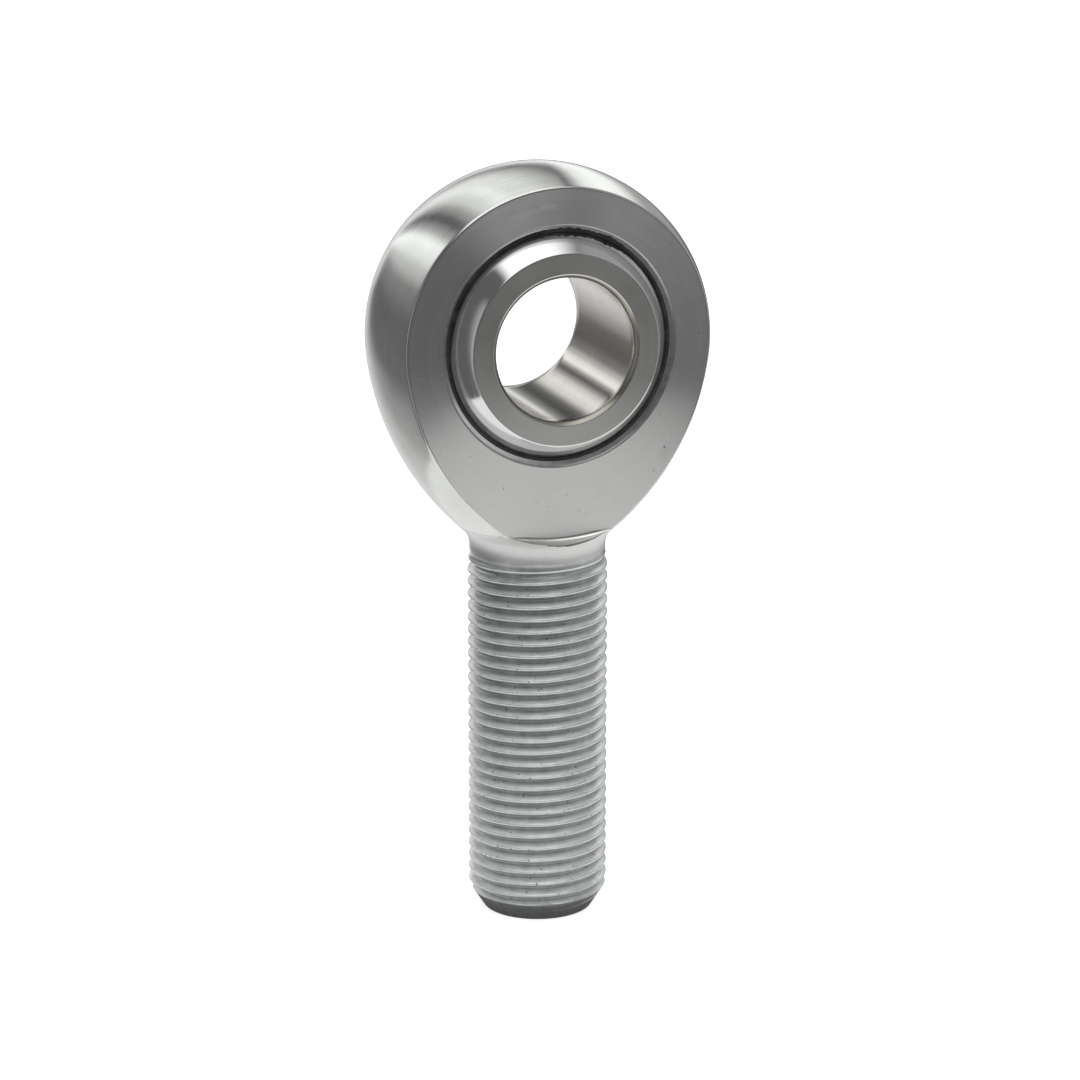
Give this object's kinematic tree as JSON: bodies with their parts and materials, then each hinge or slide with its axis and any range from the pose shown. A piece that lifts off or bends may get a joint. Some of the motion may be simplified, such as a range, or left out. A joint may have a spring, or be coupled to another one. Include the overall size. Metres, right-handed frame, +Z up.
{
  "type": "rod end bearing",
  "caption": "Male rod end: a ball-shaped steel eye with flat faces on a right-hand threaded shank, holding a chromed swivel ball with a through bore in a thin black liner.",
  "frame": {"origin": "centre of the ball, which is the centre of its bore", "axes": "+Y along the bore's axis at rest, +Z up along the shank's axis, so the shank points along -Z; the flat faces look along +Y and -Y"},
  "size_m": [0.038, 0.019, 0.0858],
  "materials": {
    "zinc_plated_steel": "turned steel with a clear bright zinc plate, satin on the faces",
    "black_liner": "matt black low-friction liner",
    "hard_chrome": "polished hard chrome, ground satin on the ends and in the bore"
  },
  "bodies": {
    "rod_end_body": {"body": "zinc_plated_steel"},
    "liner_carrier": {"liner": "black_liner"},
    "swivel_ball": {"ball": "hard_chrome"}
  },
  "joints": [
    {"name": "ball_spin", "type": "hinge", "parent": "rod_end_body", "child": "liner_carrier", "pos_m": [0, 0, 0], "axis": [0, 1, 0], "continuous": true},
    {"name": "ball_tilt", "type": "hinge", "parent": "liner_carrier", "child": "swivel_ball", "pos_m": [0, 0, 0], "axis": [1, 0, 0], "range_deg": [-13, 13]}
  ]
}
